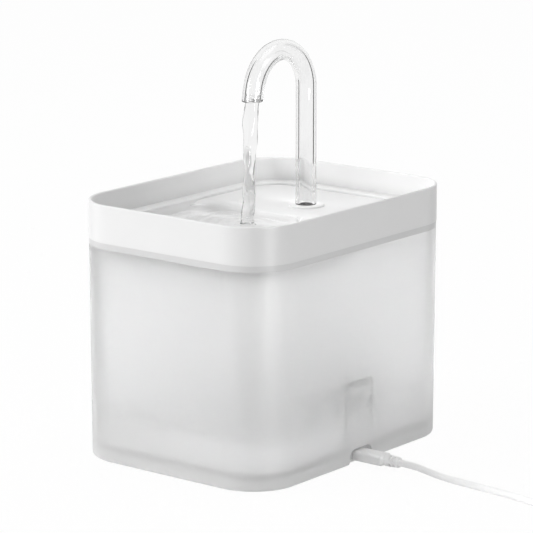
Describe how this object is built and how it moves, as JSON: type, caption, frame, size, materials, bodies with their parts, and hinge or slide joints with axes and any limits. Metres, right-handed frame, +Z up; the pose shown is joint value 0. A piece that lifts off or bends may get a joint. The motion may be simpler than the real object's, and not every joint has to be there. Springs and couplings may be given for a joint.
{
  "type": "pet water fountain",
  "caption": "Rounded frosted water tank with a white drinking tray, a clear swan-neck faucet, a submersible filter pump and a coiled low-voltage power cord.",
  "frame": {"origin": "centre of the footprint on the floor, under the tank", "axes": "+Z up, -Y the front with the drinking bowl, +X the side with the power socket"},
  "size_m": [0.3228, 0.18, 0.2323],
  "materials": {
    "white_tray": "fine satin moulding",
    "white_collar": "smooth",
    "frosted_tank": "frosted, light passes through",
    "white_cover": "fine texture",
    "clear_tube": "clear and polished",
    "clear_insert": "clear, moulded",
    "screw_steel": "zinc plated",
    "core_steel": "stacked laminations",
    "socket_steel": "nickel plated",
    "plug_steel": "nickel plated",
    "foot_rubber": "matte",
    "gasket_silicone": "matte silicone",
    "seal_silicone": "silicone",
    "dark_silicone": "dark silicone",
    "hose_silicone": "milky silicone",
    "dark_case": "fine texture",
    "board_green": "solder mask over glass fibre",
    "chip_black": "moulded epoxy",
    "winding_copper": "enamelled copper wire",
    "ferrite_grey": "sintered ferrite",
    "lead_black": "flat flexible lead",
    "clear_box": "translucent",
    "filter_foam": "open cell foam",
    "filter_fleece": "needled fleece over granules",
    "pump_grey": "fine texture",
    "shaft_ceramic": "ground",
    "shutter_white": "smooth",
    "impeller_white": "smooth",
    "plug_overmould": "soft satin overmould",
    "cord_jacket": "satin jacket",
    "tie_strap": "hook and loop strap"
  },
  "bodies": {
    "base": {"water_tank": "frosted_tank", "bottom_cover": "white_cover", "cover_screws": "screw_steel", "rubber_feet": "foot_rubber", "drive_case": "dark_case", "drive_board": "board_green", "board_parts": "chip_black", "power_socket": "socket_steel", "socket_gasket": "gasket_silicone", "drive_coil": "winding_copper", "drive_ferrite": "ferrite_grey", "coil_lead": "lead_black", "filter_box": "clear_box", "box_pads": "foot_rubber", "foam_sponge": "filter_foam", "carbon_filter": "filter_fleece", "pump_housing": "pump_grey", "pump_back_cover": "pump_grey", "volute_cover": "pump_grey", "rotor_shaft": "shaft_ceramic", "shaft_bushes": "foot_rubber", "stator_core": "core_steel", "stator_winding": "winding_copper", "driver_board": "board_green", "pickup_coil": "winding_copper", "outlet_hose": "hose_silicone"},
    "tray": {"bowl_tray": "white_tray"},
    "collar": {"faucet_collar": "white_collar", "collar_seal": "seal_silicone", "tube_sleeve": "dark_silicone"},
    "faucet": {"faucet_tube": "clear_tube", "outlet_ring": "clear_insert"},
    "lid": {"filter_lid": "clear_box"},
    "shutter": {"flow_adjuster": "shutter_white"},
    "rotor": {"impeller": "impeller_white", "rotor_magnet": "ferrite_grey"},
    "cord_set": {"plug_body": "plug_overmould", "plug_tongue": "socket_steel", "plug_relief": "plug_overmould", "usb_cord": "cord_jacket", "cord_coil": "cord_jacket", "cord_tie": "tie_strap", "cord_tail": "cord_jacket", "far_relief": "plug_overmould", "far_plug": "plug_overmould", "far_shell": "plug_steel"}
  },
  "joints": [
    {"name": "tray_lift", "type": "slide", "parent": "base", "child": "tray", "axis": [0, 0, 1], "range_m": [0, 0.045]},
    {"name": "collar_pull", "type": "slide", "parent": "tray", "child": "collar", "axis": [0, 0, 1], "range_m": [0, 0.03]},
    {"name": "faucet_swivel", "type": "hinge", "parent": "collar", "child": "faucet", "pos_m": [0, 0.038, 0.1329], "axis": [0, 0, 1], "range_deg": [-135, 135]},
    {"name": "filter_lid_lift", "type": "slide", "parent": "base", "child": "lid", "axis": [0, 0, 1], "range_m": [0, 0.06]},
    {"name": "flow_shutter_turn", "type": "hinge", "parent": "base", "child": "shutter", "pos_m": [0, 0.0308, 0.026], "axis": [0, 1, 0], "range_deg": [0, 60]},
    {"name": "impeller_spin", "type": "hinge", "parent": "base", "child": "rotor", "pos_m": [0, 0.045, 0.026], "axis": [0, 1, 0], "continuous": true},
    {"name": "plug_pull", "type": "slide", "parent": "base", "child": "cord_set", "axis": [1, 0, 0], "range_m": [0, 0.02]}
  ]
}
